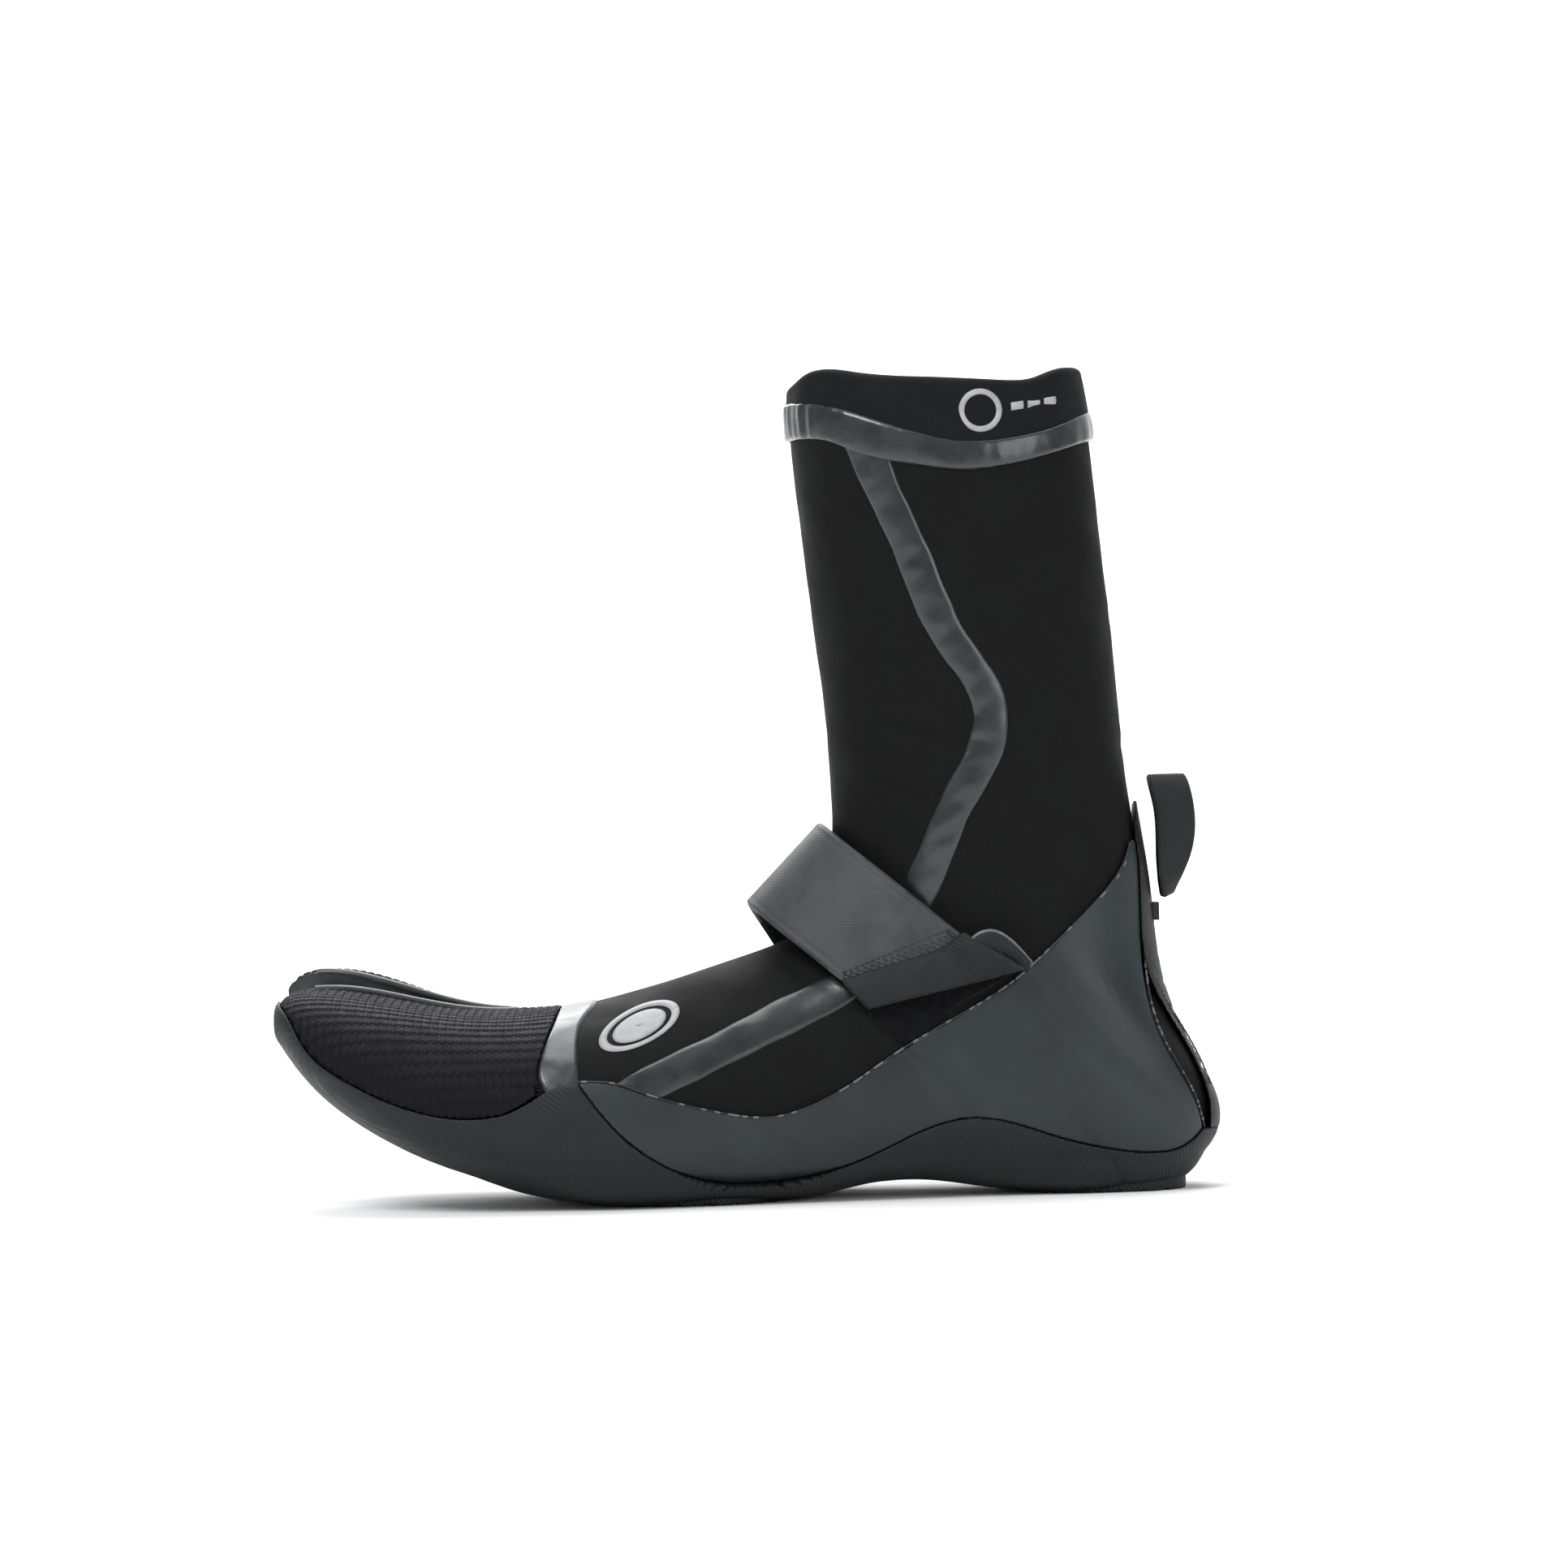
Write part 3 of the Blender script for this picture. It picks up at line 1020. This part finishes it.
def make_stage():
    """A pale floor that sweeps up behind the boot."""
    profile = [(2.2, 0.0), (-0.6, 0.0)]
    profile += [(-0.6 - 0.7 * math.sin(a), 0.7 - 0.7 * math.cos(a)) for a in np.linspace(0.1, 1.57, 14)]
    profile += [(-1.3, 3.0)]
    across = np.linspace(-3.2, 3.2, 5)
    points = [(x, -y, z) for y, z in profile for x in across]
    mesh = bpy.data.meshes.new("floor")
    mesh.from_pydata(points, [], grid_faces(len(profile), len(across)))
    mesh.polygons.foreach_set("use_smooth", [True] * len(mesh.polygons))
    floor = in_scene("floor", mesh)
    pale = bpy.data.materials.new("pale_floor")
    pale.use_nodes = True
    shader = pale.node_tree.nodes["Principled BSDF"]
    shader.inputs["Base Color"].default_value = (0.92, 0.92, 0.92, 1.0)
    shader.inputs["Roughness"].default_value = 0.9
    mesh.materials.append(pale)


def area_light(name, place, target, size, power):
    """A round soft light that faces a target."""
    data = bpy.data.lights.new(name, "AREA")
    data.shape = "DISK"
    data.size, data.energy = size, power
    light = in_scene(name, data)
    light.location = place
    light.rotation_euler = (Vector(target) - Vector(place)).to_track_quat("-Z", "Y").to_euler()


def make_lights():
    """A key light from the toe side, a fill, a top and a back light, and an even pale sky."""
    target = (-0.09, 0.0, 0.10)
    area_light("key", (-0.9, -1.1, 1.5), target, 0.9, 26.0)
    area_light("fill", (1.1, -1.2, 0.6), target, 1.1, 9.0)
    area_light("top", (0.0, 0.3, 1.6), target, 1.2, 14.0)
    area_light("back", (-0.3, 1.1, 0.9), target, 0.9, 8.0)
    world = bpy.data.worlds.new("studio")
    bpy.context.scene.world = world
    world.use_nodes = True
    world.node_tree.nodes["Background"].inputs["Color"].default_value = (0.9, 0.92, 0.95, 1.0)
    world.node_tree.nodes["Background"].inputs["Strength"].default_value = 0.5


def make_look():
    """Plain display contrast, so that black neoprene stays black on a pale floor."""
    bpy.context.scene.view_settings.view_transform = "Standard"


def make_camera():
    """Level, looking at the boot's outer side, rolled a little clockwise."""
    data = bpy.data.cameras.new("camera")
    data.lens = 129.7
    data.clip_end = 20.0
    camera = in_scene("camera", data)
    camera.location = (-0.0876, -1.600, 0.1166)
    camera.rotation_mode = "QUATERNION"
    level = Vector((0.0, 1.0, 0.0)).to_track_quat("-Z", "Y")
    camera.rotation_quaternion = Quaternion((0.0, 1.0, 0.0), math.radians(1.5)) @ level
    bpy.context.scene.camera = camera


make_sock()
make_lining()
make_collar()
make_side_tapes()
make_toe_tape()
make_cuff_tape()
make_rubber()
make_toe_backing()
make_strap()
make_tab()
make_tab_curl()
make_edges()
make_split_lips()
make_loop_patch()
make_prints()
make_heel_loop()
dress_nodes()
make_stage()
make_lights()
make_look()
make_camera()
